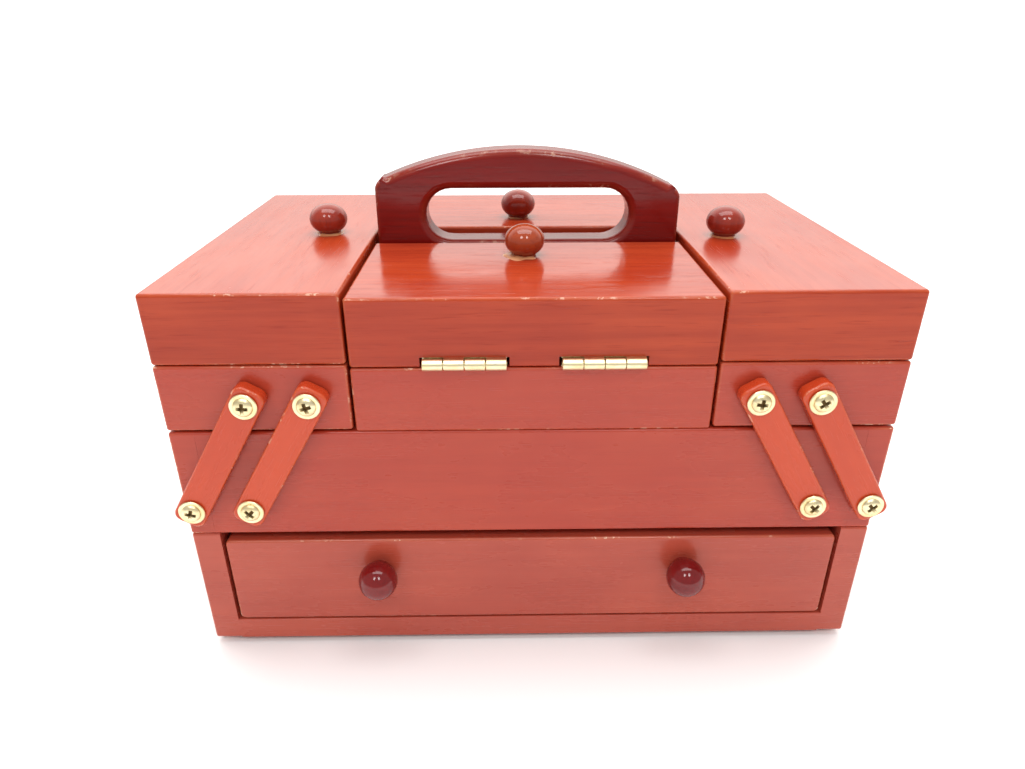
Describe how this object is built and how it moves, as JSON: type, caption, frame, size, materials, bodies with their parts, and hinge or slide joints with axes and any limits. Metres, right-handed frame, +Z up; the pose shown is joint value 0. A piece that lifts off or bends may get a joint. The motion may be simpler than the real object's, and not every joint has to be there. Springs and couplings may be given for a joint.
{
  "type": "fold-out sewing box",
  "caption": "Lacquered wooden sewing box with side trays that swing out on parallel arms, hinged box lids over each compartment, a carrying handle and a full-width drawer.",
  "frame": {"origin": "on the table under the feet, at the middle of the overall footprint", "axes": "+X to the right along the box's width, +Y to the back, +Z up; the drawer opens towards -Y"},
  "size_m": [0.2876, 0.198, 0.2003],
  "materials": {
    "red_lacquer": "gloss lacquer over stained wood",
    "lid_lacquer": "gloss lacquer over stained wood, grain showing",
    "arm_lacquer": "gloss lacquer over stained wood",
    "handle_lacquer": "gloss lacquer over dark stain",
    "knob_lacquer": "gloss lacquer, turned",
    "stained_ply": "thin stain over plywood",
    "foot": "satin lacquer",
    "brass": "polished plate"
  },
  "bodies": {
    "cabinet": {"base_left_side": "red_lacquer", "base_right_side": "red_lacquer", "base_bottom": "red_lacquer", "base_back": "red_lacquer", "feet": "foot", "middle_left_side": "red_lacquer", "middle_right_side": "red_lacquer", "middle_front": "red_lacquer", "middle_back": "red_lacquer", "middle_floor": "stained_ply", "centre_front_wall": "red_lacquer", "centre_back_wall": "red_lacquer", "centre_side_walls": "red_lacquer", "centre_floor": "stained_ply", "handle": "handle_lacquer", "lower_pivot_screws": "brass", "front_hinge_leaves": "brass", "back_hinge_leaves": "brass", "centre_hinge_pins": "brass"},
    "drawer": {"drawer_front": "red_lacquer", "drawer_sides": "red_lacquer", "drawer_back": "red_lacquer", "drawer_bottom": "stained_ply", "drawer_knobs": "knob_lacquer"},
    "left_outer_arms": {"left_outer_arms": "arm_lacquer"},
    "left_inner_arms": {"left_inner_arms": "arm_lacquer"},
    "left_tray": {"left_tray_front": "red_lacquer", "left_tray_back": "red_lacquer", "left_tray_outer_wall": "red_lacquer", "left_tray_inner_wall": "red_lacquer", "left_tray_floor": "stained_ply", "left_pivot_screws": "brass", "left_hinge_leaves": "brass", "left_hinge_pins": "brass"},
    "right_outer_arms": {"right_outer_arms": "arm_lacquer"},
    "right_inner_arms": {"right_inner_arms": "arm_lacquer"},
    "right_tray": {"right_tray_front": "red_lacquer", "right_tray_back": "red_lacquer", "right_tray_outer_wall": "red_lacquer", "right_tray_inner_wall": "red_lacquer", "right_tray_floor": "stained_ply", "right_pivot_screws": "brass", "right_hinge_leaves": "brass", "right_hinge_pins": "brass"},
    "left_lid": {"left_lid_top": "lid_lacquer", "left_lid_rim": "lid_lacquer", "left_lid_knob": "knob_lacquer", "left_lid_hinge_leaves": "brass"},
    "right_lid": {"right_lid_top": "lid_lacquer", "right_lid_rim": "lid_lacquer", "right_lid_knob": "knob_lacquer", "right_lid_hinge_leaves": "brass"},
    "front_lid": {"front_lid_top": "lid_lacquer", "front_lid_rim": "lid_lacquer", "front_lid_knob": "knob_lacquer", "front_lid_hinge_leaves": "brass"},
    "back_lid": {"back_lid_top": "lid_lacquer", "back_lid_rim": "lid_lacquer", "back_lid_knob": "knob_lacquer", "back_lid_hinge_leaves": "brass"}
  },
  "joints": [
    {"name": "drawer_slide", "type": "slide", "parent": "cabinet", "child": "drawer", "axis": [0, -1, 0], "range_m": [0, 0.12]},
    {"name": "left_outer_swing", "type": "hinge", "parent": "cabinet", "child": "left_outer_arms", "pos_m": [-0.134, 0.00296, 0.0757], "axis": [0, -1, 0], "range_deg": [0, 61.3]},
    {"name": "left_tray_pivot", "type": "hinge", "parent": "left_outer_arms", "child": "left_tray", "pos_m": [-0.1064, 0.00296, 0.1222], "axis": [0, -1, 0], "range_deg": [-61.3, 0]},
    {"name": "left_inner_swing", "type": "hinge", "parent": "cabinet", "child": "left_inner_arms", "pos_m": [-0.111, 0.00296, 0.0757], "axis": [0, -1, 0], "range_deg": [0, 61.3]},
    {"name": "left_lid_hinge", "type": "hinge", "parent": "left_tray", "child": "left_lid", "pos_m": [-0.1416, 0.00296, 0.1375], "axis": [0, -1, 0], "range_deg": [0, 185]},
    {"name": "right_outer_swing", "type": "hinge", "parent": "cabinet", "child": "right_outer_arms", "pos_m": [0.134, 0.00296, 0.0757], "axis": [0, 1, 0], "range_deg": [0, 61.3]},
    {"name": "right_tray_pivot", "type": "hinge", "parent": "right_outer_arms", "child": "right_tray", "pos_m": [0.1064, 0.00296, 0.1222], "axis": [0, 1, 0], "range_deg": [-61.3, 0]},
    {"name": "right_inner_swing", "type": "hinge", "parent": "cabinet", "child": "right_inner_arms", "pos_m": [0.111, 0.00296, 0.0757], "axis": [0, 1, 0], "range_deg": [0, 61.3]},
    {"name": "right_lid_hinge", "type": "hinge", "parent": "right_tray", "child": "right_lid", "pos_m": [0.1416, 0.00296, 0.1375], "axis": [0, 1, 0], "range_deg": [0, 185]},
    {"name": "front_lid_hinge", "type": "hinge", "parent": "cabinet", "child": "front_lid", "pos_m": [0, -0.08564, 0.1361], "axis": [1, 0, 0], "range_deg": [0, 185]},
    {"name": "back_lid_hinge", "type": "hinge", "parent": "cabinet", "child": "back_lid", "pos_m": [0, 0.09156, 0.1361], "axis": [-1, 0, 0], "range_deg": [0, 185]}
  ],
  "couplings": [
    {"joint": "left_tray_pivot", "follows": "left_outer_swing", "ratio": -1},
    {"joint": "left_inner_swing", "follows": "left_outer_swing", "ratio": 1},
    {"joint": "right_tray_pivot", "follows": "right_outer_swing", "ratio": -1},
    {"joint": "right_inner_swing", "follows": "right_outer_swing", "ratio": 1}
  ]
}
